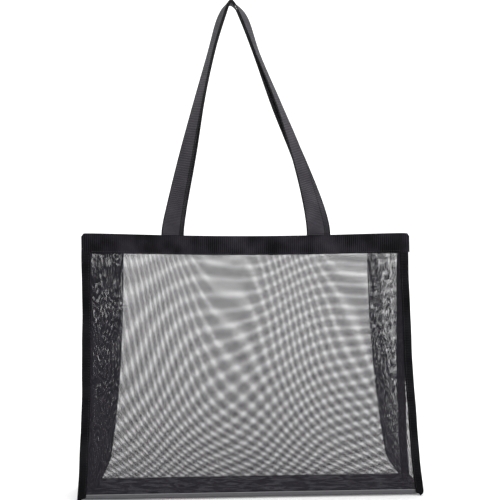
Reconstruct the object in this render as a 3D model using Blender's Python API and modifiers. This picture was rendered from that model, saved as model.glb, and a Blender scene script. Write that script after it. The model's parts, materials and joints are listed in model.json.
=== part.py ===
"""Mesh beach bag: two sheer panels and two folded gussets on a dense base, edged with tape,
with two webbing shoulder handles. Metres, +Z up, standing on its base, front towards -Y."""

import math

import bmesh
import bpy
from mathutils import Vector

# The body
RIM_WIDTH = 0.430  # side seam to side seam along the rim
BASE_FLARE = 0.014  # the base is this much wider, as no tape gathers it
HEIGHT = 0.340  # floor to the top of the rim
BASE_DEPTH = 0.088  # front fold to back fold, standing
MOUTH_DEPTH = 0.014  # front panel to back panel at the rim, closed
GUSSET_WIDTH = 0.110  # of the gusset laid flat
FOOT_EASE = 0.0025  # the gusset's crease is this much shallower where it meets the base
EASE_HEIGHT = 0.045  # and reaches its full depth at this height
HEM_HEIGHT = 0.006  # the turned-up fold that the bag stands on

# The handles
HANDLE_SPAN = 0.192  # between the middles of one handle's ends
HANDLE_RISE = 0.304  # rim to the middle of the strap at the top of the loop
HANDLE_STAGGER = 0.003  # each handle is sewn this far off the middle, front and back opposite
APEX_SHIFT = -0.016  # the loops hang from a point this far off the middle
APEX_TURN = 0.018  # pull of the curve at the top of the loop, which sets its roundness
FOOT_RISE = 0.048  # pull of the curve above the rim, where the strap stands straight up
TWIST_POWER = 2.2  # how early the strap turns flat to the hand
TAB_LENGTH = 0.025  # end of the strap that is sewn inside the rim

# The cloths
MESH = 0.0006
TAPE = 0.0006
BASE_CLOTH = 0.0012
WEBBING = 0.0014
STRAP_WIDTH = 0.025
RIM_TAPE = 0.025  # depth of the rim band on each face
BINDING = 0.0095  # width of the folded seam binding on each face
GAP = 0.0003  # between cloths that touch
STRAP_GAP = 0.0014  # between the two handles where they lie together
CREASE_RADIUS = 0.0015
BAND_TURN = 0.003  # height in which the gusset steps in behind the rim band
HINGE_LIFT = 0.0010  # the strap bends this far above the rim
HINGE_FORWARD = 0.0012  # and this far outside the rim band's outer face

# What follows from them
BASE_WIDTH = RIM_WIDTH + BASE_FLARE
LAYER = MESH / 2 + GAP + TAPE / 2  # middle of a mesh to the middle of the tape on it
PAIR = MESH + GAP  # middle of a mesh to the middle of the mesh beside it
SEAM_FOLD = (PAIR + 2 * LAYER) / 2  # radius of the binding's fold round two meshes
SEAM_INSET = TAPE / 2 + SEAM_FOLD  # where that fold starts and the meshes end, in from the side
INNER_LEAF = PAIR + LAYER  # the binding's inner leaf, in from the panel's middle
SEAM_STRIP = BINDING + LAYER  # edge of the gusset that lies flat in and beside the binding
BEHIND_BAND = 2 * LAYER + TAPE + GAP  # the gusset where the rim bands lie between
TAB_INSET = LAYER + TAPE / 2 + GAP + WEBBING / 2
BAND_FOLD_Z = HEIGHT - TAPE / 2 - LAYER
BAND_LOW_Z = HEIGHT - RIM_TAPE
BINDING_TOP_Z = BAND_LOW_Z - BAND_TURN - GAP
HEM_LEAF = 2 * LAYER  # the hem's inner leaf, in from its outer one
BASE_INSET = HEM_LEAF + MESH / 2 + GAP  # edge of the base cloth, in from the fold
BASE_Z = HEM_HEIGHT - BASE_CLOTH / 2
BASE_LEAF = BASE_CLOTH / 2 + GAP + TAPE / 2
FOLD_STEPS = 4
BAND_ROWS = 3
FRONT, BACK = -1, 1
LEFT, RIGHT = -1, 1
FACE_NAMES = {FRONT: "front", BACK: "back"}
HAND_NAMES = {LEFT: "left", RIGHT: "right"}


def clear_scene():
    for obj in list(bpy.data.objects):
        bpy.data.objects.remove(obj, do_unlink=True)


def cloth_material(name, color, roughness):
    material = bpy.data.materials.new(name)
    material.use_nodes = True
    shader = material.node_tree.nodes["Principled BSDF"]
    shader.inputs["Base Color"].default_value = (*color, 1)
    shader.inputs["Roughness"].default_value = roughness
    shader.inputs["Metallic"].default_value = 0
    return material


def half_depth(z):
    """The panels' distance from the middle plane at a height: they lean in towards the rim."""
    up = (z - HEM_HEIGHT) / (HEIGHT - HEM_HEIGHT)
    return BASE_DEPTH / 2 + (MOUTH_DEPTH - BASE_DEPTH) / 2 * up


def half_width(z):
    """The side seams' distance from the middle at a height."""
    return (BASE_WIDTH + (RIM_WIDTH - BASE_WIDTH) * z / HEIGHT) / 2


def on_wall(face, x, z, inward=0.0):
    """A point on the front or back panel's middle surface, or a given way in from it."""
    return Vector((x, face * (half_depth(z) - inward), z))


def spread(low, high, steps):
    return [low + (high - low) * i / steps for i in range(steps + 1)]


def across(half, steps):
    return spread(-half, half, steps)


def arc(center, radius, start, end, steps=FOLD_STEPS):
    """Points (a, b) round a centre, from one angle in degrees to another."""
    angles = [math.radians(a) for a in spread(start, end, steps)]
    return [(center[0] + radius * math.cos(a), center[1] + radius * math.sin(a)) for a in angles]


def sheet(name, rows, thickness, material, collection, hinge=None):
    """A cloth of one thickness, whose middle surface goes through rows of points."""
    columns, lines = len(rows[0]) - 1, len(rows) - 1
    mesh = bpy.data.meshes.new(name)
    grid = bmesh.new()
    bmesh.ops.create_grid(grid, x_segments=columns, y_segments=lines, size=0.5)
    origin = hinge.matrix_world.translation if hinge else Vector()
    for vertex in grid.verts:
        column = round((vertex.co.x + 0.5) * columns)
        row = round((vertex.co.y + 0.5) * lines)
        vertex.co = rows[row][column] - origin
    grid.to_mesh(mesh)
    grid.free()
    mesh.shade_smooth()
    mesh.set_sharp_from_angle(angle=math.radians(35))
    mesh.materials.append(material)
    piece = bpy.data.objects.new(name, mesh)
    piece.parent = hinge
    collection.objects.link(piece)
    shell = piece.modifiers.new("thickness", "SOLIDIFY")
    shell.thickness = thickness
    shell.offset = 0
    shell.use_even_offset = True
    return piece


def hinge_line(name, location, collection, parent=None):
    """An empty on a fold's axis, which runs along X."""
    hinge = bpy.data.objects.new(name, None)
    hinge.empty_display_size = 0.02
    hinge.location = location
    if parent:
        hinge.parent = parent
        hinge.location = location - parent.location
    collection.objects.link(hinge)
    bpy.context.view_layer.update()
    return hinge


def wall_panel(face, material, collection, hinge):
    heights = spread(HEM_HEIGHT + GAP / 2, BAND_FOLD_Z - GAP, 8)
    rows = [
        [on_wall(face, x, z) for x in across(half_width(z) - SEAM_INSET, 8)] for z in heights
    ]
    sheet(FACE_NAMES[face] + "_mesh_panel", rows, MESH, material, collection, hinge)


def folded_band_profile():
    """(inward, z) over a raw edge: up the outer leaf, round the fold, down the inner leaf."""
    leaf = spread(BAND_LOW_Z, BAND_FOLD_Z, BAND_ROWS)[:-1]
    fold = arc((0, BAND_FOLD_Z), LAYER, 180, 0)
    return [*((-LAYER, z) for z in leaf), *fold, *((LAYER, z) for z in reversed(leaf))]


def rim_band(face, material, collection, hinge):
    rows = [
        [on_wall(face, x, z, inward) for x in across(half_width(z), 8)]
        for inward, z in folded_band_profile()
    ]
    sheet(FACE_NAMES[face] + "_rim_band", rows, TAPE, material, collection, hinge)


def seam_binding(face, hand, material, collection, hinge):
    """Tape folded over the edges of a panel and a gusset that are sewn together."""
    fold = arc((-SEAM_INSET, PAIR / 2), SEAM_FOLD, -90, 90)
    profile = [(-BINDING, -LAYER), *fold, (-BINDING, INNER_LEAF)]
    rows = [
        [on_wall(face, hand * (half_width(z) + x), z, inward) for x, inward in profile]
        for z in spread(MESH, BINDING_TOP_Z, 8)
    ]
    name = f"{FACE_NAMES[face]}_{HAND_NAMES[hand]}_binding"
    sheet(name, rows, TAPE, material, collection, hinge)


def crease_depth(z):
    """How far in from the side seam the gusset's crease lies: the gusset keeps its width."""
    full = math.sqrt((GUSSET_WIDTH / 2) ** 2 - half_depth(z) ** 2)
    rise = min(max((z - HEM_HEIGHT) / EASE_HEIGHT, 0), 1)
    return full - FOOT_EASE * (1 - rise * rise * (3 - 2 * rise))


def gusset_row(hand, z, inset, closer=0.0):
    """Points from the front seam round the crease to the back seam. The halves lie an inset
    in from the panels, and closer moves both halves towards each other."""
    edge = half_depth(z) - inset - closer
    radius = CREASE_RADIUS - closer
    seam_x = half_width(z) - SEAM_INSET
    strip_x = half_width(z) - SEAM_STRIP
    crease_x = half_width(z) - crease_depth(z)
    slope = [
        (strip_x + (crease_x - strip_x) * s, edge + (radius - edge) * s) for s in (0.25, 0.5, 0.75)
    ]
    half = [(seam_x, edge), (strip_x, edge), *slope, *arc((crease_x, 0), radius, 90, 180, 3)]
    front = [Vector((hand * x, -y, z)) for x, y in half]
    back = [Vector((hand * x, y, z)) for x, y in reversed(half[:-1])]
    return front + back


def gusset(hand, material, collection):
    low = spread(HEM_HEIGHT + GAP, HEM_HEIGHT + EASE_HEIGHT, 4)
    middle = spread(HEM_HEIGHT + EASE_HEIGHT, BINDING_TOP_Z, 5)[1:]
    rows = [gusset_row(hand, z, PAIR) for z in low + middle]
    behind_band = spread(BAND_LOW_Z - GAP, BAND_FOLD_Z - GAP, BAND_ROWS)
    rows += [gusset_row(hand, z, BEHIND_BAND) for z in behind_band]
    sheet(HAND_NAMES[hand] + "_gusset", rows, MESH, material, collection)


def gusset_rim_band(hand, material, collection):
    rows = [gusset_row(hand, z, BEHIND_BAND, closer) for closer, z in folded_band_profile()]
    sheet(HAND_NAMES[hand] + "_gusset_rim_band", rows, TAPE, material, collection)


def base_hem(face, material, collection):
    """The panel's bottom edge turned up inside, with a flat fold that the bag stands on."""
    end = half_width(HEM_HEIGHT) - BINDING - GAP
    top, bottom = HEM_HEIGHT - GAP / 2, MESH / 2
    profile = [(0, top), (0, bottom), (HEM_LEAF, bottom), (HEM_LEAF, top)]
    rows = [
        [Vector((x, face * (BASE_DEPTH / 2 - inward), z)) for x in across(end, 8)]
        for inward, z in profile
    ]
    sheet(FACE_NAMES[face] + "_base_hem", rows, MESH, material, collection)


def base_panel(material, collection):
    end = BASE_WIDTH / 2 - SEAM_INSET
    depths = across(BASE_DEPTH / 2 - BASE_INSET, 4)
    rows = [[Vector((x, y, BASE_Z)) for x in across(end, 8)] for y in depths]
    sheet("base_panel", rows, BASE_CLOTH, material, collection)


def base_binding(hand, material, collection):
    """Tape folded over the base cloth's end."""
    fold = arc((BASE_WIDTH / 2 - TAPE / 2 - BASE_LEAF, BASE_Z), BASE_LEAF, -90, 90)
    free_edge = BASE_WIDTH / 2 - BINDING
    profile = [(free_edge, BASE_Z - BASE_LEAF), *fold, (free_edge, BASE_Z + BASE_LEAF)]
    depths = across(BASE_DEPTH / 2 - BASE_INSET, 4)
    rows = [[Vector((hand * x, y, z)) for x, z in profile] for y in depths]
    sheet(HAND_NAMES[hand] + "_base_binding", rows, TAPE, material, collection)


def bezier(points, t):
    """A point on a cubic curve and the curve's direction there."""
    a, b, c, d = points
    s = 1 - t
    place = a * s**3 + b * (3 * s * s * t) + c * (3 * s * t * t) + d * t**3
    slope = (b - a) * s * s + (c - b) * (2 * s * t) + (d - c) * t * t
    return place, slope.normalized()


def strand(hand):
    """The middle line of one side of the loops, from the rim up to the apex."""
    foot = Vector((hand * HANDLE_SPAN / 2, 0, HEIGHT + HINGE_LIFT))
    apex = Vector((APEX_SHIFT, 0, HEIGHT + HANDLE_RISE))
    lower = foot + Vector((0, 0, FOOT_RISE))
    upper = apex + Vector((hand * APEX_TURN, 0, 0))
    return foot, lower, upper, apex


def strap_row(face, hand, t):
    """Points across a handle's strap. It leaves the rim flat to the panel and turns
    until it lies flat over the hand, and the front strap lies outside the back one."""
    middle, direction = bezier(strand(hand), t)
    ease = 1 - t
    turn = math.pi / 2 * (1 - ease**TWIST_POWER)
    outward = Vector((hand * direction.z, 0, -hand * direction.x))
    normal = Vector((0, -math.cos(turn), 0)) + outward * math.sin(turn)
    base_space = MOUTH_DEPTH - 2 * TAB_INSET
    apex_space = WEBBING + STRAP_GAP
    space = apex_space + (base_space - apex_space) * ease**2
    middle = middle - face * normal * space / 2
    middle.x += face * HANDLE_STAGGER * ease**2
    width = direction.cross(normal) * -hand
    return [middle + width * STRAP_WIDTH * s for s in (-0.5, 0, 0.5)]


def handle(face, material, collection, hinge):
    steps = spread(0, 1, 22)
    rows = [strap_row(face, LEFT, t) for t in steps]
    rows += [strap_row(face, RIGHT, t) for t in reversed(steps[:-1])]
    sheet(FACE_NAMES[face] + "_handle", rows, WEBBING, material, collection, hinge)


def handle_end(face, hand, material, collection, hinge):
    """The end of the strap, sewn flat inside the rim band."""
    middle = hand * HANDLE_SPAN / 2 + face * HANDLE_STAGGER
    columns = spread(middle - STRAP_WIDTH / 2, middle + STRAP_WIDTH / 2, 2)
    heights = spread(HEIGHT - TAB_LENGTH, HEIGHT, 2)
    rows = [[on_wall(face, x, z, TAB_INSET) for x in columns] for z in heights]
    name = f"{FACE_NAMES[face]}_handle_{HAND_NAMES[hand]}_end"
    sheet(name, rows, WEBBING, material, collection, hinge)


def build():
    clear_scene()
    bag = bpy.data.collections.new("mesh_beach_bag")
    bpy.context.scene.collection.children.link(bag)
    mesh_cloth = cloth_material("sheer black mesh", (0.03, 0.03, 0.034), 0.6)
    base_cloth = cloth_material("dense black base cloth", (0.02, 0.02, 0.024), 0.7)
    tape = cloth_material("black grosgrain tape", (0.012, 0.012, 0.014), 0.75)
    webbing = cloth_material("charcoal webbing", (0.04, 0.04, 0.044), 0.8)

    base_panel(base_cloth, bag)
    for hand in (LEFT, RIGHT):
        gusset(hand, mesh_cloth, bag)
        gusset_rim_band(hand, tape, bag)
        base_binding(hand, tape, bag)
    for face in (FRONT, BACK):
        name = FACE_NAMES[face]
        fold = Vector((0, face * BASE_DEPTH / 2, HEM_HEIGHT))
        bend = on_wall(face, 0, HEIGHT, -LAYER - TAPE / 2 - HINGE_FORWARD)
        bend.z += HINGE_LIFT
        wall_hinge = hinge_line(name + "_panel_fold", fold, bag)
        strap_hinge = hinge_line(name + "_handle_bend", bend, bag, wall_hinge)
        base_hem(face, mesh_cloth, bag)
        wall_panel(face, mesh_cloth, bag, wall_hinge)
        rim_band(face, tape, bag, wall_hinge)
        for hand in (LEFT, RIGHT):
            seam_binding(face, hand, tape, bag, wall_hinge)
            handle_end(face, hand, webbing, bag, wall_hinge)
        handle(face, webbing, bag, strap_hinge)


build()
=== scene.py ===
"""Sheer mesh beach bag: the cloth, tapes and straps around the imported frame."""

import json
import math

import bpy
from mathutils import Matrix, Vector


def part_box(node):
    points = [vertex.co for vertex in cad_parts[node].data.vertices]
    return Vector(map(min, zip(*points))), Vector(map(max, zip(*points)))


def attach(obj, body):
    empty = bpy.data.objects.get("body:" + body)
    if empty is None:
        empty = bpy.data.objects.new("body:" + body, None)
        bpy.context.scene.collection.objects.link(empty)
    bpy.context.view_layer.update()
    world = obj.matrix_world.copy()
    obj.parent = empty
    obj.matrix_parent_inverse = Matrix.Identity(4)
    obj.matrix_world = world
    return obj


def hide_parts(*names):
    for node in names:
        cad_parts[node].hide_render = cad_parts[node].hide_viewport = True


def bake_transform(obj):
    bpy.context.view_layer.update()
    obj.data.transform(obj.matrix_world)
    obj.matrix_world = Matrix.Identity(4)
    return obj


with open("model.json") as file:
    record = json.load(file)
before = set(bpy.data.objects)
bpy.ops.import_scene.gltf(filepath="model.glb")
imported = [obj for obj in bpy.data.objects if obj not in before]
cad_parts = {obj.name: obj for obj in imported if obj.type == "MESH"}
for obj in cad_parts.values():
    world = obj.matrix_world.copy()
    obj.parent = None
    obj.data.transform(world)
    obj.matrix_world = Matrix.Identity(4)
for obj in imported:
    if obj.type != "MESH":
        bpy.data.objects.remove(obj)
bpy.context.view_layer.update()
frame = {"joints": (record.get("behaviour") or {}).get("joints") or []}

# The studio. A seamless white paper sweep under and behind the bag, one broad soft light high on
# the right of the camera, a weaker one on the left, and a bright even room.

LENS_ANGLE = math.radians(25.97)
LOOKING_DOWN = math.radians(1.79)
TURNED_RIGHT = math.radians(4.0)
CAMERA_PLACE = (-0.0947, -1.4303, 0.3644)
ROOM_LIGHT = 0.80
PAPER_GLOW = 0.18  # light from under the paper, which keeps its shadows faint

scene = bpy.context.scene
scene.view_settings.view_transform = "Standard"

lens = bpy.data.cameras.new("lens")
lens.sensor_width = 36
lens.angle = LENS_ANGLE
lens.clip_start = 0.05
camera = bpy.data.objects.new("camera", lens)
camera.location = CAMERA_PLACE
camera.rotation_euler = (math.pi / 2 - LOOKING_DOWN, 0, -TURNED_RIGHT)
scene.collection.objects.link(camera)
scene.camera = camera

room = bpy.data.worlds.new("room")
room.use_nodes = True
room.node_tree.nodes["Background"].inputs["Color"].default_value = (1, 1, 1, 1)
room.node_tree.nodes["Background"].inputs["Strength"].default_value = ROOM_LIGHT
scene.world = room


def softbox(name, place, target, size, power):
    light = bpy.data.lights.new(name, "AREA")
    light.shape = "DISK"
    light.size = size
    light.energy = power
    lamp = bpy.data.objects.new(name, light)
    lamp.location = place
    lamp.rotation_euler = (Vector(target) - Vector(place)).to_track_quat("-Z", "Y").to_euler()
    scene.collection.objects.link(lamp)


softbox("key", (2.1, -1.8, 1.9), (0, 0, 0.3), 1.2, 34)
softbox("fill", (-1.9, -1.8, 1.2), (0, 0, 0.25), 1.4, 3)
softbox("sweep_light", (0, 1.4, 3.4), (0, 2.6, 0.3), 2.6, 75)


class Wire:
    """A value in a material. Sums and products of wires add Math nodes, node() adds any other."""

    def __init__(self, tree, socket=None):
        self.tree = tree
        self.socket = socket

    def node(self, kind, settings, inputs, output=0):
        made = self.tree.nodes.new(kind)
        for name, value in settings.items():
            setattr(made, name, value)
        for name, value in inputs.items():
            if isinstance(value, Wire):
                self.tree.links.new(value.socket, made.inputs[name])
            else:
                made.inputs[name].default_value = value
        return Wire(self.tree, made.outputs[output])

    def math(self, operation, *values):
        return self.node("ShaderNodeMath", {"operation": operation}, dict(enumerate(values)))

    def mix(self, factor, low, high):
        """A colour between two colours."""
        return self.node("ShaderNodeMix", {"data_type": "RGBA"}, {0: factor, 6: low, 7: high}, 2)

    def axis(self, letter):
        return self.node("ShaderNodeSeparateXYZ", {}, {0: self}, letter)

    def step(self, off, on):
        """0 where this value is off, 1 where it is on, and a straight ramp between."""
        return self.node("ShaderNodeMapRange", {}, {"Value": self, "From Min": off, "From Max": on})

    def __add__(self, other):
        return self.math("ADD", self, other)

    def __sub__(self, other):
        return self.math("SUBTRACT", self, other)

    def __rsub__(self, other):
        return self.math("SUBTRACT", other, self)

    def __mul__(self, other):
        return self.math("MULTIPLY", self, other)

    def __truediv__(self, other):
        return self.math("DIVIDE", self, other)

    __radd__ = __add__
    __rmul__ = __mul__


def finish_of(name, roughness, **constants):
    """A new cloth finish: its material, and a wire to start its nodes from."""
    material = bpy.data.materials.new(name)
    material.use_nodes = True
    shader = material.node_tree.nodes["Principled BSDF"]
    shader.inputs["Roughness"].default_value = roughness
    for socket, value in constants.items():
        shader.inputs[socket.replace("_", " ")].default_value = value
    return material, Wire(material.node_tree), shader


def plug(wire, shader, socket):
    """Feeds one of the shader's sockets from a wire."""
    wire.tree.links.new(wire.socket, shader.inputs[socket])


def paper_finish():
    material, start, shader = finish_of("white_paper", 0.9)
    place = start.node("ShaderNodeTexCoord", {}, {}, "Object")
    grain = start.node("ShaderNodeTexNoise", {}, {"Vector": place, "Scale": 60.0, "Detail": 4.0})
    plug(start.mix(grain, (0.90, 0.90, 0.90, 1), (0.93, 0.93, 0.93, 1)), shader, "Base Color")
    shader.inputs["Emission Color"].default_value = (1, 1, 1, 1)
    shader.inputs["Emission Strength"].default_value = PAPER_GLOW
    return material


bpy.ops.object.select_all(action="DESELECT")
bpy.ops.mesh.primitive_grid_add(x_subdivisions=1, y_subdivisions=48, size=1)
sweep = bpy.context.object
sweep.name = "paper_sweep"
SWEEP_HALF, SWEEP_NEAR, SWEEP_FAR, SWEEP_BEND, SWEEP_TOP = 6.0, -4.0, 3.0, 1.5, 6.0
for vertex in sweep.data.vertices:
    reach = (vertex.co.y + 0.5) * 3
    if reach <= 1:
        y, z = SWEEP_NEAR + (SWEEP_FAR - SWEEP_NEAR) * reach, 0
    elif reach <= 2:
        turn = (reach - 1) * math.pi / 2
        y, z = SWEEP_FAR + SWEEP_BEND * math.sin(turn), SWEEP_BEND * (1 - math.cos(turn))
    else:
        y, z = SWEEP_FAR + SWEEP_BEND, SWEEP_BEND + (SWEEP_TOP - SWEEP_BEND) * (reach - 2)
    vertex.co = (vertex.co.x * 2 * SWEEP_HALF, y, z)
sweep.data.shade_smooth()
sweep.data.materials.append(paper_finish())


# The sheer mesh. Black nylon net, about fifty holes to the inch, cut as two panels that hang from
# the rim. Each panel's bottom edge is folded up inside to make the hem that the bag stands on.

MESH_PITCH = 0.00052
YARN_EDGE = 0.03  # softness of a yarn's edge, as a share of half a pitch
PANEL_COVER = 0.28  # how much of half a pitch a yarn covers
NET_COLOR = (0.010, 0.008, 0.012, 1)
NET_LIGHT = (0.027, 0.024, 0.032, 1)
# Painted sheen and shade on the gussets' yarns: lighter in lines along the crease rings, darker between
# them.
CREASE_SHADE = (0.005, 0.005, 0.007, 1)
CREASE_SHEEN = (0.135, 0.137, 0.158, 1)
# The hem's even mid grey is painted light: it stands in for the bright backdrop seen through the doubled
# net, where the floor under the base lies in shade.
HEM_BACKLIGHT_GREY = (0.106, 0.104, 0.112, 1)
HEM_THREAD = (0.22, 0.22, 0.23, 1)
HEM_COVER = 0.85
DRAWN_DOWN = 0.10  # how much denser the net gets towards the hem
GRAIN_STRETCH = 3.0  # the gussets' grain is this many times longer than wide
SWIRL_SCALE, FINE_SCALE = 9.0, 170.0  # of the broad swirls and the fine streaks
SWIRL_TURNS = 150.0
RING_SHARE = 0.22  # how much of the streaks the rings make
OPENS = (0.045, 0.024)  # metres from the seam, where the net starts to loosen and is loosest
HEM_HEIGHT = 0.0064
HEM_LOW_Z = 0.0018
HEM_INSET = 0.011
hem_top_z = HEM_LOW_Z + HEM_HEIGHT
FRONT, BACK = -1, 1
LEFT, RIGHT = -1, 1
FACE_NAMES = {FRONT: "front", BACK: "back"}
HAND_NAMES = {LEFT: "left", RIGHT: "right"}
CLOTH = 0.0006
GAP = 0.0003
LAYER = CLOTH + GAP

joints = {joint["name"]: joint for joint in frame["joints"]}
hem_z = joints["mouth_open"]["pos_m"][2]
base_half = joints["back_panel_open"]["pos_m"][1]
panel_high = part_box("front_mesh_panel")[1]
rim_low, rim_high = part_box("front_rim_band")
binding_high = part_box("front_right_binding")[1]
rim_z = rim_high.z
rim_half_width = rim_high.x
base_half_width = binding_high.x
rim_half_depth = -panel_high.y + CLOTH / 2
TOP_INSET = 0.0016  # the nets end this far under the rim's top, inside its tape
SEAM_INSET = 0.0022
WAIST = 0.0019  # how far the left seam bows in
FLARE = {LEFT: 0.0040, RIGHT: 0.0145}  # how far each seam leans out at its foot
FULLNESS = 0.0016  # how far a panel stands out of its plane
BROAD_FOLDS, NARROW_FOLDS = 0.0011, 0.0008  # and the height of its soft folds
RIM_SHIFT = 0.0016  # the right end of the rim band stands out this far over the seam
RIM_DIP = 0.0040  # and the rim's middle this far down
RIM_STAND = 0.0021  # the rim's corners stand this far over the frame's
CORNER = 0.004


def smooth(t):
    """From 0 to 1 with level ends."""
    t = min(max(t, 0), 1)
    return t * t * (3 - 2 * t)


def half_depth(z):
    """How far each panel is from the middle, at a height."""
    up = (z - hem_z) / (rim_z - hem_z)
    return base_half + (rim_half_depth - base_half) * up


def seam_x(hand, z):
    """Where a side seam's edge is at a height. The left seam bows in a little above its foot, and
    the right one leans out all the way down, so the base hangs to the right."""
    down = min(max(1 - z / rim_z, 0), 1)
    if hand == LEFT:
        return WAIST * math.sin(math.pi * down) - rim_half_width - FLARE[LEFT] * down**5
    return rim_half_width + FLARE[RIGHT] * down**2.2


def rim_dip(share):
    """How far the rim hangs below the frame's, along its length."""
    return RIM_DIP * (1 - share * share) ** 1.5 - RIM_STAND


def swell(face, share, up):
    """How far a panel stands out of its plane: soft vertical folds, none at its edges."""
    edge = (1 - share**4) * math.sin(math.pi * min(max(up, 0), 1))
    folds = BROAD_FOLDS * math.sin(5.2 * share + face * 1.1)
    folds += NARROW_FOLDS * math.sin(9.1 * share - 2.0 * up + face)
    return edge * (FULLNESS + folds)


def on_panel(face, share, z, inward=0.0, inset=0.0):
    """A point of a panel: share runs from -1 at the left seam to 1 at the right one."""
    left, right = seam_x(LEFT, z) + inset, seam_x(RIGHT, z) - inset
    x = left + (right - left) * (share + 1) / 2
    up = (z - hem_z) / (rim_z - hem_z)
    y = half_depth(z) - inward + swell(face, share, up)
    return Vector((x, face * y, z - rim_dip(share) * max(up, 0) ** 2))


def lay_cloth(name, columns, lines, flat, place, stray=None):
    """A cloth made from a grid: place(u, v) gives each point, with u and v from 0 to 1, and its
    UV map is in metres along the cloth. stray(u, v) is how far the yarns lie off a square grid."""
    bpy.ops.object.select_all(action="DESELECT")
    bpy.ops.mesh.primitive_grid_add(x_subdivisions=columns, y_subdivisions=lines, size=1)
    cloth = bpy.context.object
    cloth.name = cloth.data.name = name
    for vertex in cloth.data.vertices:
        u = round((vertex.co.x + 0.5) * columns) / columns
        v = round((vertex.co.y + 0.5) * lines) / lines
        vertex.co = place(u, v)
    for corner in cloth.data.uv_layers.active.data:
        u, v = corner.uv
        off = stray(u, v) if stray else (0, 0)
        corner.uv = (u * flat[0] + off[0], v * flat[1] + off[1])
    cloth.data.shade_smooth()
    return cloth


def thicken(cloth, thickness, rounding=0.0):
    """Gives a cloth its thickness, half to each side, and rounds its cut edges."""
    bpy.ops.object.select_all(action="DESELECT")
    cloth.select_set(True)
    bpy.context.view_layer.objects.active = cloth
    shell = cloth.modifiers.new("thickness", "SOLIDIFY")
    shell.thickness = thickness
    shell.offset = 0
    shell.use_even_offset = True
    bpy.ops.object.modifier_apply(modifier=shell.name)
    if rounding:
        edge = cloth.modifiers.new("edges", "BEVEL")
        edge.width = rounding
        edge.segments = 2
        edge.limit_method = "ANGLE"
        edge.angle_limit = math.radians(50)
        edge.use_clamp_overlap = True
        bpy.ops.object.modifier_apply(modifier=edge.name)
    cloth.data.shade_smooth()


def net_finish(name, cover, wander, drawn_down, streaks=0.0, seam_open=0.0, hemmed=False):
    """See-through net. Its yarns cover a share of each pitch both ways, and wander = (scale, length)
    lets the grid stray a little. The net is drawn together downwards, and where it is creased its
    yarns crowd in streaks. seam_open loosens it beside the seam."""
    material, start, shader = finish_of(name, 0.6, Specular_IOR_Level=0.12)
    flat = start.node("ShaderNodeUVMap", {}, {})
    stray = start.node("ShaderNodeTexNoise", {}, {
        "Vector": flat, "Scale": wander[0], "Detail": 1.5}, "Color")
    grid = start.node("ShaderNodeVectorMath", {"operation": "MULTIPLY_ADD"}, {
        0: stray, 1: (wander[1], wander[1], 0), 2: flat})
    across, along = grid.axis("X"), grid.axis("Y")
    height = start.node("ShaderNodeTexCoord", {}, {}, "Object").axis("Z")
    crowd = height.step(rim_z, 0) * drawn_down
    if streaks:
        drawn = start.node("ShaderNodeVectorMath", {"operation": "MULTIPLY"}, {
            0: grid, 1: (GRAIN_STRETCH, 1, 1)})
        swirl = start.node("ShaderNodeTexNoise", {}, {
            "Vector": drawn, "Scale": SWIRL_SCALE, "Detail": 1.5})
        fine = start.node("ShaderNodeTexNoise", {}, {
            "Vector": drawn, "Scale": FINE_SCALE, "Detail": 3.0})
        rings = (swirl * SWIRL_TURNS).math("SINE", swirl * SWIRL_TURNS)
        crowd = crowd + rings * (RING_SHARE * streaks) + (fine - 0.5) * streaks
        crowd = crowd - flat.axis("X").step(*OPENS) * seam_open
        # Painted sheen: the yarns are lighter along the rings' troughs and darker elsewhere, with fine
        # random streaks of tone.
        lit = rings.step(0.2, -1.0) * 0.4 + (fine - 0.5) * 0.8

    def yarn(place):
        ridge = (place / MESH_PITCH).math("PINGPONG", place / MESH_PITCH, 0.5) * 2 + crowd
        return start.node("ShaderNodeMapRange", {"interpolation_type": "SMOOTHSTEP"}, {
            "Value": ridge, "From Min": 1 - cover - YARN_EDGE, "From Max": 1 - cover + YARN_EDGE})

    warp, weft = yarn(across), yarn(along)
    net = warp.math("MAXIMUM", warp, weft)
    tint = start.mix(weft, NET_COLOR, NET_LIGHT)
    if streaks:
        # The gussets' yarns take the painted sheen and shade in place of the net's own colour.
        tint = start.mix(lit, CREASE_SHADE, CREASE_SHEEN)
    if hemmed:
        hem = height.step(hem_top_z + 0.0002, hem_top_z - 0.0002)
        stitched = hem * height.step(hem_top_z - 0.0010, hem_top_z - 0.0006)
        turned = height.step(HEM_LOW_Z + 0.0012, HEM_LOW_Z + 0.0006)
        # Painted light: the hem is painted mid grey and made almost opaque, in place of the backdrop seen
        # through it.
        tint = start.mix(hem, tint, HEM_BACKLIGHT_GREY)
        tint = start.mix(stitched, tint, HEM_THREAD)
        tint = start.mix(turned, tint, NET_COLOR)
        net = net.math("MAXIMUM", net, hem * HEM_COVER)
    plug(tint, shader, "Base Color")
    plug(net, shader, "Alpha")
    relief = start.node("ShaderNodeBump", {}, {"Height": warp + weft, "Strength": 0.25, "Distance": 0.0001})
    plug(relief, shader, "Normal")
    return material


def off_grain(share, up):
    """How far the front net's yarns lie off a square grid. It is cut about two degrees off the
    grain, drawn in towards the hem, and eased in soft vertical folds."""
    fold = 2 * math.pi * (share - 0.26) / 0.79
    across = 0.0072 * share + 0.0106 * up - 0.0125 * up**2 + 0.0069 * up**3 - 0.0051 * share * up
    along = -0.0090 * share + 0.0040 * up + 0.0354 * up**2 - 0.0269 * up**3
    along += 0.0016 * share**2 - 0.0017 * share**3 + 0.0015 * share * up
    return across - 0.0002 * math.sin(fold), along - 0.0012 * up * math.sin(fold)


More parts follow.
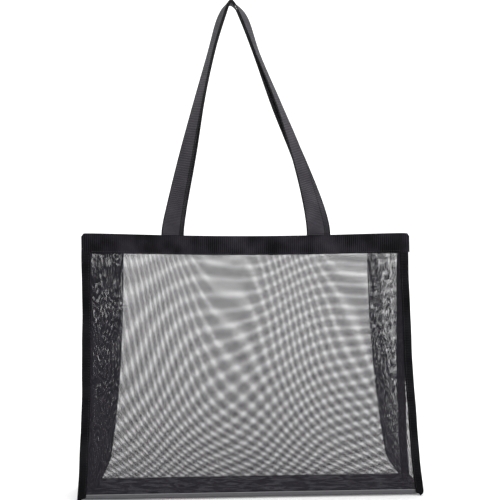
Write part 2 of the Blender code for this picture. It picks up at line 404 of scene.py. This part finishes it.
def panel_mesh(face):
    """Up from the hem's inner edge, round the fold and on to the rim, as one cloth."""
    top = rim_z - TOP_INSET
    turn = 2 * LAYER
    length = HEM_HEIGHT + turn + top - HEM_LOW_Z

    def place(u, v):
        share = 2 * u - 1
        run = v * length
        if run < HEM_HEIGHT:
            return on_panel(face, share, hem_top_z - run, turn * 0.9, HEM_INSET)
        z = HEM_LOW_Z + run - HEM_HEIGHT - turn
        if z < HEM_LOW_Z:
            across = (run - HEM_HEIGHT) / turn
            inset = SEAM_INSET + (HEM_INSET - SEAM_INSET) * (1 - across)
            bow = math.sin(math.pi * across) * 0.0006
            return on_panel(face, share, HEM_LOW_Z - bow, turn * 0.9 * (1 - across), inset)
        return on_panel(face, share, z, 0, SEAM_INSET)

    def stray(u, v):
        up = max(v * length - HEM_HEIGHT - turn, 0) / rim_z
        return off_grain(2 * u - 1, up) if face == FRONT else (0, 0)

    width = 2 * rim_half_width
    name = FACE_NAMES[face]
    cloth = lay_cloth(name + "_net", 96, 110, (width, length), place, stray)
    cloth.data.materials.append(net_finish(
        name + "_net", PANEL_COVER, (4.0 + face, 0.0012), DRAWN_DOWN, hemmed=True))
    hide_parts(name + "_mesh_panel", name + "_base_hem")
    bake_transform(cloth)
    return cloth, (width, length)


panels = {face: panel_mesh(face) for face in (FRONT, BACK)}


# The gussets. One strip of the same net at each side, sewn to both panels' edges and folded
# inwards on a crease, so that four layers of net lie over each other there.

GUSSET_HALF = 0.055
GUSSET_WANDER = (16.0, 0.0040)
CREASE_GAP = 0.00035
FOOT_EASE = {LEFT: 0.0085, RIGHT: 0.0150}  # the creases bend out to the seams above the base
EASE_HEIGHT = 0.042
STRIP = 0.0104  # each half lies flat in its seam's binding for this far
STRIP_SHARE = 0.16
BEND_Z = 0.06  # height that the unfolding is measured at, above the bend
BAND_BEHIND = 0.0027
band_low_z = rim_low.z


def crease_depth(hand, z):
    """How far in from the seam a gusset's crease lies."""
    full = math.sqrt(GUSSET_HALF**2 - half_depth(z) ** 2)
    return full - FOOT_EASE[hand] * (1 - smooth((z - hem_z) / EASE_HEIGHT))


def in_gusset(face, hand, reach, z, closer=0.0, room=0.0):
    """A point of a gusset's half: reach runs from 0 at the seam to 1 at the crease."""
    behind = LAYER + (BAND_BEHIND - LAYER) * smooth((z - band_low_z + 0.006) / 0.005)
    edge = half_depth(z) - behind
    seam = seam_x(hand, z) - hand * SEAM_INSET
    strip = seam_x(hand, z) - hand * STRIP
    crease = seam_x(hand, z) - hand * crease_depth(hand, z)
    if reach < STRIP_SHARE:
        x = seam + (strip - seam) * reach / STRIP_SHARE
        y = edge
    else:
        t = (reach - STRIP_SHARE) / (1 - STRIP_SHARE)
        x = strip + (crease - strip) * t
        slack = 0.0018 * math.sin(math.pi * t) * math.sin(9 * z / rim_z + hand)
        y = edge * (1 - t**1.06) + slack * (1 - smooth((z - 0.2) / 0.12))
    return Vector((x, face * max(y - closer, room), z))


def unfold(piece, face, hand):
    """Bakes the half's transform. The crease's line and the seam's corners are worked out but not used."""
    top = Vector((seam_x(hand, rim_z) - hand * crease_depth(hand, rim_z), 0, rim_z))
    low = Vector((seam_x(hand, BEND_Z) - hand * crease_depth(hand, BEND_Z), 0, BEND_Z))
    along = (top - low).normalized()
    corner = Vector((seam_x(hand, hem_z), face * base_half, hem_z)) - low
    rim_corner = Vector((seam_x(hand, rim_z), face * rim_half_depth, rim_z)) - low
    corner -= along * corner.dot(along)
    rim_corner -= along * rim_corner.dot(along)
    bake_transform(piece)


def gusset_half(face, hand):
    low, high = hem_top_z + 0.0010, rim_z - TOP_INSET
    cloth = lay_cloth(
        f"{HAND_NAMES[hand]}_gusset_{FACE_NAMES[face]}_half", 24, 90, (GUSSET_HALF, high - low),
        lambda u, v: in_gusset(face, hand, u, low + (high - low) * v),
        lambda u, v: (0, 0.4 * face))
    cloth.data.materials.append(gusset_nets[hand])
    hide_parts(HAND_NAMES[hand] + "_gusset")
    unfold(cloth, face, hand)
    return cloth, (GUSSET_HALF, high - low)


gusset_nets = {
    LEFT: net_finish("left_gusset_net", 0.38, GUSSET_WANDER, 0.36, streaks=1.1),
    RIGHT: net_finish(
        "right_gusset_net", PANEL_COVER, GUSSET_WANDER, 0.32, streaks=0.7, seam_open=0.22)}
gussets = {(face, hand): gusset_half(face, hand) for face in (FRONT, BACK) for hand in (LEFT, RIGHT)}


# The base. Dense black polyester, one rectangle cut as wide as the bag and a little crumpled. It
# is sewn inside the two hems and bound with tape at its ends.

# Painted sheen and shade on the base cloth: its tone follows the same crumples as its bumps, lighter in
# ripple lines round them.
BASE_DARK = (0.002, 0.002, 0.003, 1)
BASE_SHEEN = (0.100, 0.100, 0.115, 1)
BASE_CLOTH = 0.0009
WEAVE_SCALE = 320.0


def woven_finish():
    material, start, shader = finish_of("base_weave", 0.7, Specular_IOR_Level=0.16)
    flat = start.node("ShaderNodeUVMap", {}, {})
    warp = start.node("ShaderNodeTexWave", {"bands_direction": "X"}, {
        "Vector": flat, "Scale": WEAVE_SCALE})
    weft = start.node("ShaderNodeTexWave", {"bands_direction": "Y"}, {
        "Vector": flat, "Scale": WEAVE_SCALE})
    drawn = start.node("ShaderNodeVectorMath", {"operation": "MULTIPLY"}, {0: flat, 1: (0.5, 0.9, 1)})
    crumple = start.node("ShaderNodeTexNoise", {}, {"Vector": drawn, "Scale": 42.0, "Detail": 3.0})
    ripple = (crumple * 34.0).math("SINE", crumple * 34.0)
    # Painted sheen and shade: lighter and darker with the crumple bumps, in ripple lines.
    tint = start.mix((crumple - 0.5) * 1.4 + ripple * 0.65 + 0.26, BASE_DARK, BASE_SHEEN)
    plug(tint, shader, "Base Color")
    height = warp * weft * 0.3 + crumple
    relief = start.node("ShaderNodeBump", {}, {"Height": height, "Strength": 0.5, "Distance": 0.002})
    plug(relief, shader, "Normal")
    return material


base_low, base_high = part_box("base_panel")
base_mid_z = hem_top_z + 0.0002


def on_base(u, v):
    share = 2 * u - 1
    x = seam_x(LEFT, 0) + SEAM_INSET + (seam_x(RIGHT, 0) - seam_x(LEFT, 0) - 2 * SEAM_INSET) * u
    y = base_low.y + (base_high.y - base_low.y) * v
    edge = (1 - share**6) * math.sin(math.pi * v)
    crumple = 0.0009 * math.sin(23 * share + 5 * v) + 0.0006 * math.sin(41 * share - 9 * v)
    return Vector((x, y, base_mid_z + edge * (crumple - 0.0012)))


base_size = (2 * base_half_width, base_high.y - base_low.y)
base = lay_cloth("base_cloth", 90, 20, base_size, on_base)
thicken(base, BASE_CLOTH)
base.data.materials.append(woven_finish())
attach(base, "base")
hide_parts("base_panel")


# The thread. Black polyester, in lockstitches about seven to the inch, sewn in one row through
# the rim tape on each face and each seam's tape, near its free edge. Only the row on the outside of the bag
# shows.

TAPE = 0.0007  # thickness of the tape that it is sewn through
STITCH = 0.0025
STITCH_GAP = 0.0009
THREAD = 0.00045
SEW_IN = 0.034  # the row's place across the rim tape, as a share of its width
SEAM_SEW_IN = 0.066


def thread_finish():
    material, start, shader = finish_of("sewing_thread", 0.45, Specular_IOR_Level=0.3)
    place = start.node("ShaderNodeTexCoord", {}, {}, "Object")
    ply = start.node("ShaderNodeTexWave", {"bands_direction": "DIAGONAL"}, {
        "Vector": place, "Scale": 900.0, "Distortion": 0.4})
    plug(start.mix(ply, (0.004, 0.004, 0.005, 1), (0.030, 0.028, 0.032, 1)), shader, "Base Color")
    relief = start.node("ShaderNodeBump", {}, {"Height": ply, "Strength": 0.4, "Distance": 0.0001})
    plug(relief, shader, "Normal")
    return material


thread = thread_finish()


def sew(name, body, face, line):
    """A row of stitches on the outside of a tape: line(t) gives its path, with t from 0 to 1."""
    path = [line(k / 400) for k in range(401)]
    length = sum((after - before).length for before, after in zip(path, path[1:]))
    count = int(length / (STITCH + STITCH_GAP))
    bpy.ops.object.select_all(action="DESELECT")
    bpy.ops.mesh.primitive_uv_sphere_add(segments=6, ring_count=4, radius=0.5)
    first = bpy.context.object
    stitches = [first] + [first.copy() for k in range(count - 1)]
    for k, stitch in enumerate(stitches):
        before, after = line((k + 0.1) / count), line((k + 0.9) / count)
        stitch.location = (before + after) / 2 + Vector((0, face * (TAPE + THREAD) / 2, 0))
        stitch.rotation_euler = (after - before).to_track_quat("Z", "Y").to_euler()
        stitch.scale = (THREAD, THREAD, STITCH)
        if stitch is not first:
            stitch.data = first.data.copy()
            scene.collection.objects.link(stitch)
        stitch.select_set(True)
    bpy.context.view_layer.objects.active = first
    bpy.ops.object.join()
    bpy.ops.object.transform_apply(location=True, rotation=True, scale=True)
    first.name = first.data.name = name
    first.data.shade_smooth()
    first.data.materials.append(thread)
    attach(first, body)


# The tapes. Black ribbed grosgrain: a 25 mm fold over the whole rim, and a narrower one over
# each seam and over the base cloth's ends. Its ribs run across it.

RIM_RIB, SEAM_RIB = 0.0026, 0.0021
RIM_TAPE_WIDE, SEAM_TAPE_WIDE = 0.052, 0.020  # unfolded
TAPE_DARK = (0.001, 0.001, 0.0015, 1)
RIM_LIGHT = (0.027, 0.024, 0.031, 1)
SEAM_LIGHT = (0.010, 0.010, 0.012, 1)
TAPE_YARN = 0.00045
LEAF = 0.42  # share of a folded tape's width that lies flat on each side
BINDING = 0.0095
RIDGE = 0.00135  # the rim tape stands out this much more over the seams
SEAM_TUCK = 0.004  # the seams' tape goes this far up into the rim's
TIP_CURL = 0.006


def tape_finish(name, rib_pitch, dark, light):
    material, start, shader = finish_of(name, 0.6, Specular_IOR_Level=0.06)
    flat = start.node("ShaderNodeUVMap", {}, {})
    along, across = flat.axis("X"), flat.axis("Y")
    rib = (along * (2 * math.pi / rib_pitch)).math("SINE", along * (2 * math.pi / rib_pitch))
    yarn = across.math("SINE", across * (2 * math.pi / TAPE_YARN))
    fuzz = start.node("ShaderNodeTexNoise", {}, {"Vector": flat, "Scale": 420.0, "Detail": 3.0})
    patch = start.node("ShaderNodeTexNoise", {}, {"Vector": flat, "Scale": 26.0, "Detail": 2.0})
    tint = start.mix(rib * 0.3 + fuzz * 0.3 + (patch - 0.5) * 2.8 + 0.28, dark, light)
    plug(tint, shader, "Base Color")
    relief = start.node("ShaderNodeBump", {}, {
        "Height": rib + yarn * 0.15 + fuzz * 0.2, "Strength": 0.6, "Distance": 0.00025})
    plug(relief, shader, "Normal")
    return material


rim_tape = tape_finish("rim_tape", RIM_RIB, TAPE_DARK, RIM_LIGHT)
seam_tape = tape_finish("seam_tape", SEAM_RIB, TAPE_DARK, SEAM_LIGHT)


def band_fold(s):
    """(inward share, height share) along a tape folded over an edge, s from 0 to 1."""
    if s < LEAF:
        return -1, s / LEAF
    if s > 1 - LEAF:
        return 1, (1 - s) / LEAF
    turn = math.pi * (s - LEAF) / (1 - 2 * LEAF)
    return -math.cos(turn), 1 + 0.036 * math.sin(turn)


def rim_band(face):
    """Round the rim's edge, wrapped at both ends over the seam's ridge."""
    def place(u, v):
        share = 2 * u - 1
        side, up = band_fold(v)
        from_end = rim_half_width * (1 - abs(share))
        ridge = smooth((0.016 - from_end) / 0.007)
        closing = math.sqrt(max(1 - max(1 - from_end / 0.0028, 0) ** 2, 0.0))
        inward = RIDGE * ridge + side * (LAYER + RIDGE * ridge) * closing
        drop = CORNER - math.sqrt(max(CORNER**2 - max(CORNER - from_end, 0) ** 2, 0))
        top = rim_z - LAYER - TAPE / 2 - drop
        z = band_low_z + (top - band_low_z) * up
        point = on_panel(face, share, z, inward)
        point.x += RIM_SHIFT * smooth(share * 2)
        return point

    name = FACE_NAMES[face]
    long = 2 * rim_half_width
    band = lay_cloth(name + "_rim_tape", 150, 26, (long, RIM_TAPE_WIDE), place)
    thicken(band, TAPE)
    band.data.materials.append(rim_tape)
    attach(band, name)
    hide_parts(name + "_rim_band")
    sew(name + "_rim_stitches", name, face, lambda t: place(0.03 + 0.94 * t, SEW_IN))
    return band


def gusset_band(face, hand):
    """The rim tape goes on along the gusset's edge, to the crease."""
    def place(u, v):
        side, up = band_fold(v)
        reach = 0.18 + 0.82 * u
        z = band_low_z + (rim_z - LAYER - TAPE / 2 - 0.001 - band_low_z) * up
        closer = side * LAYER * min(1, 0.8 + (1 - u))
        return in_gusset(face, hand, reach, max(z, band_low_z), closer, CREASE_GAP)

    band = lay_cloth(
        f"{HAND_NAMES[hand]}_gusset_{FACE_NAMES[face]}_tape", 20, 26,
        (GUSSET_HALF, RIM_TAPE_WIDE), place)
    band.data.materials.append(rim_tape)
    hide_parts(HAND_NAMES[hand] + "_gusset_rim_band")
    unfold(band, face, hand)
    return band


def swap_uv(cloth):
    """Turns a tape's map so that its first way is always along the tape."""
    for corner in cloth.data.uv_layers.active.data:
        corner.uv = (corner.uv.y, corner.uv.x)


def seam_binding(face, hand):
    """Folded round panel and gusset together, up into the rim tape. The right ones curl in at
    their foot."""
    node = f"{FACE_NAMES[face]}_{HAND_NAMES[hand]}_binding"
    top = band_low_z + SEAM_TUCK
    tip = TIP_CURL if hand == RIGHT else 0

    def place(u, v):
        lean = smooth((0.02 - top * v) / 0.02)
        if u < LEAF:
            inset, inward = BINDING * (1 - u / LEAF), -LAYER
        elif u > 1 - LEAF:
            inset, inward = BINDING * (u - 1 + LEAF) / LEAF, 3 * LAYER - GAP
        else:
            turn = math.pi * (u - LEAF) / (1 - 2 * LEAF)
            inset = -math.sin(turn) * 0.0011
            inward = LAYER - GAP / 2 - math.cos(turn) * (2 * LAYER - GAP / 2)
        z = top * v + lean * inset * 0.42 + 0.0005
        point = on_panel(face, hand, z, inward)
        wave = 0.0003 * math.sin(17 * v + 2 * hand) + 0.0001 * math.sin(41 * v)
        curl = tip - math.sqrt(max(tip**2 - max(tip - z, 0) ** 2, 0))
        point.x -= hand * (0.0014 + inset - wave + curl)
        return point

    name = f"{FACE_NAMES[face]}_{HAND_NAMES[hand]}_seam"
    binding = lay_cloth(name + "_tape", 24, 120, (SEAM_TAPE_WIDE, top), place)
    swap_uv(binding)
    thicken(binding, TAPE)
    binding.data.materials.append(seam_tape)
    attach(binding, FACE_NAMES[face])
    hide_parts(node)
    sew(name + "_stitches", FACE_NAMES[face], face, lambda t: place(SEAM_SEW_IN, 0.02 + 0.96 * t))
    return binding


def base_binding(hand):
    """Folded over the end of the base cloth."""
    node = HAND_NAMES[hand] + "_base_binding"
    low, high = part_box(node)
    mid_z, half = (low.z + high.z) / 2, (high.z - low.z) / 2 - TAPE / 2
    width = high.x - low.x

    def place(u, v):
        turn = math.pi * (v - LEAF) / (1 - 2 * LEAF)
        if v < LEAF:
            inset, dz = width * (1 - v / LEAF), -half
        elif v > 1 - LEAF:
            inset, dz = width * (v - 1 + LEAF) / LEAF, half
        else:
            inset, dz = -math.sin(turn) * half, -math.cos(turn) * half
        x = seam_x(hand, 0) - hand * (0.0018 + inset)
        return Vector((x, low.y + (high.y - low.y) * u, mid_z + dz))

    size = (high.y - low.y, SEAM_TAPE_WIDE)
    binding = lay_cloth(HAND_NAMES[hand] + "_base_tape", 40, 20, size, place)
    thicken(binding, TAPE)
    binding.data.materials.append(seam_tape)
    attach(binding, "base")
    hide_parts(node)
    return binding


for face in (FRONT, BACK):
    edging = [rim_band(face)]
    for hand in (LEFT, RIGHT):
        cloth, flat = gussets[face, hand]
        gusset_band(face, hand)
        edging.append(seam_binding(face, hand))
    cloth, flat = panels[face]
base_binding(LEFT)
base_binding(RIGHT)


# The handles. Two flat lengths of 25 mm charcoal webbing, sewn inside the rim. Each stands up
# flat to the bag, turns a quarter on the way and lies flat over the hand at the top.

STRAP = 0.025
STRAP_THICK = 0.0019
WEBBING_DARK = (0.004, 0.004, 0.005, 1)
WEBBING_LIGHT = (0.072, 0.065, 0.080, 1)
PICK = 0.0025  # the weave's slanted ridges, along the strap
ENDS = 0.00156  # and its warp yarns, across it
# How each strap lies, at even steps from the rim to the top: its turn in degrees away from lying
# flat to the bag, and how far it strays sideways in millimetres.
TURNS = {
    (FRONT, LEFT): (0, 26, 44, 62, 75, 74, 90), (FRONT, RIGHT): (0, 30, 46, 67, 72, 66, 90),
    (BACK, LEFT): (0, 12, 32, 62, 75, 79, 90), (BACK, RIGHT): (0, 29, 45, 57, 71, 77, 90)}
STRAYS = {
    (FRONT, LEFT): (-3.1, 1.0, 3.8, 5.0, 4.2, 1.6, 0),
    (FRONT, RIGHT): (-3.4, -5.1, -4.1, -5.0, -5.9, -0.1, 0),
    (BACK, LEFT): (1.6, 1.8, 2.9, 3.1, 3.1, 2.4, 0),
    (BACK, RIGHT): (4.5, 5.4, 1.0, -5.0, -5.3, -2.4, 0)}
handle_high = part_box("front_handle")[1]
handle_z = joints["front_handle_fold"]["pos_m"][2]
end_low, end_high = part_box("front_handle_right_end")
other_low, other_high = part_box("front_handle_left_end")
HANDLE_SPAN = (end_low.x + end_high.x - other_low.x - other_high.x) / 2
APEX_X = -0.0202
APEX_TURN = 0.0233
FOOT_RISE = 0.048
STRAP_GAP = 0.0003
tab_inset = rim_half_depth + end_high.y - 0.0007


def webbing_finish():
    material, start, shader = finish_of("webbing", 0.75, Sheen_Weight=0.04, Specular_IOR_Level=0.2)
    flat = start.node("ShaderNodeUVMap", {}, {})
    across, along = flat.axis("X"), flat.axis("Y")
    zigzag = across.math("PINGPONG", across, ENDS)
    slant = (along + zigzag * 0.3) * (2 * math.pi / PICK)
    pick = slant.math("SINE", slant)
    ends = across * (2 * math.pi / ENDS)
    rib = ends.math("SINE", ends)
    fuzz = start.node("ShaderNodeTexNoise", {}, {"Vector": flat, "Scale": 700.0, "Detail": 3.0})
    patch = start.node("ShaderNodeTexNoise", {}, {"Vector": flat, "Scale": 40.0, "Detail": 2.0})
    middle = (across - STRAP / 2).math("ABSOLUTE", across - STRAP / 2)
    # The strap's edges are darker: partly the webbing's own selvedges, partly painted shade for the shadow
    # where the two straps lie together.
    selvedge_and_shade = middle.step(STRAP / 2 - 0.0022, STRAP / 2 - 0.0008)
    tone = pick * 0.22 + fuzz * 0.3 + patch * 0.7 + rib * 0.05 - selvedge_and_shade * 0.55
    plug(start.mix(tone, WEBBING_DARK, WEBBING_LIGHT), shader, "Base Color")
    height = pick + rib * 0.5 + fuzz * 0.3
    relief = start.node("ShaderNodeBump", {}, {"Height": height, "Strength": 0.7, "Distance": 0.0003})
    plug(relief, shader, "Normal")
    return material


webbing = webbing_finish()


def between(steps, t):
    """A smooth curve through evenly spaced values, at t from 0 to 1."""
    last = len(steps) - 1
    step = min(int(t * last), last - 1)
    f = t * last - step
    a, b, c, d = (steps[min(max(step + k, 0), last)] for k in (-1, 0, 1, 2))
    return (2 * b + (c - a) * f + (2 * a - 5 * b + 4 * c - d) * f**2 + (3 * b - a - 3 * c + d) * f**3) / 2


def strap_line(hand, t):
    """The middle of one side of the loops, from the rim at 0 to the top at 1, and its direction."""
    foot = Vector((hand * HANDLE_SPAN / 2, 0, handle_z))
    apex = Vector((APEX_X, 0, handle_high.z - STRAP_THICK))
    lower = foot + Vector((0, 0, FOOT_RISE))
    upper = apex + Vector((hand * APEX_TURN, 0, 0))
    s = 1 - t
    place = foot * s**3 + lower * (3 * s * s * t) + upper * (3 * s * t * t) + apex * t**3
    slope = (lower - foot) * s * s + (upper - lower) * (2 * s * t) + (apex - upper) * t * t
    return place, slope.normalized()


def on_strap(face, hand, t, across):
    """A point of a strap, turned about its middle and clear of the other strap."""
    middle, direction = strap_line(hand, t)
    ease = 1 - t
    turn = math.radians(between(TURNS[face, hand], t))
    outward = Vector((hand * direction.z, 0, -hand * direction.x))
    normal = Vector((0, -math.cos(turn), 0)) + outward * math.sin(turn)
    foot_space = 2 * (rim_half_depth - tab_inset)
    space = STRAP_THICK + STRAP_GAP + (foot_space - STRAP_THICK - STRAP_GAP) * ease**2
    middle = middle - face * normal * space / 2
    middle.x += between(STRAYS[face, hand], t) / 1000
    return middle + direction.cross(normal) * -hand * STRAP * across


def handle(face):
    tab = end_high.z - end_low.z
    steps = 200
    loop = [on_strap(face, hand, k / 100, 0) for hand in (LEFT, RIGHT) for k in range(101)]
    sides = [(after - before).length for before, after in zip(loop, loop[1:])]
    length = 2 * tab + sum(sides[:100]) + sum(sides[101:])

    def place(u, v):
        """Up one end, over the loop and down the other."""
        run = v * length
        hand = LEFT if v < 0.5 else RIGHT
        run = min(run, length - run)
        if run < tab:
            z = end_low.z + run
            x = hand * HANDLE_SPAN / 2 + STRAYS[face, hand][0] / 1000 - hand * (u - 0.5) * STRAP
            y = half_depth(z) - tab_inset
            return Vector((x, face * y, z))
        t = (run - tab) / (length / 2 - tab)
        return on_strap(face, hand, t, u - 0.5)

    name = FACE_NAMES[face]
    strap = lay_cloth(name + "_strap", 10, steps, (STRAP, length), place)
    thicken(strap, STRAP_THICK, 0.0005)
    strap.data.materials.append(webbing)
    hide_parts(name + "_handle", name + "_handle_left_end", name + "_handle_right_end")
    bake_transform(strap)


for face in (FRONT, BACK):
    handle(face)
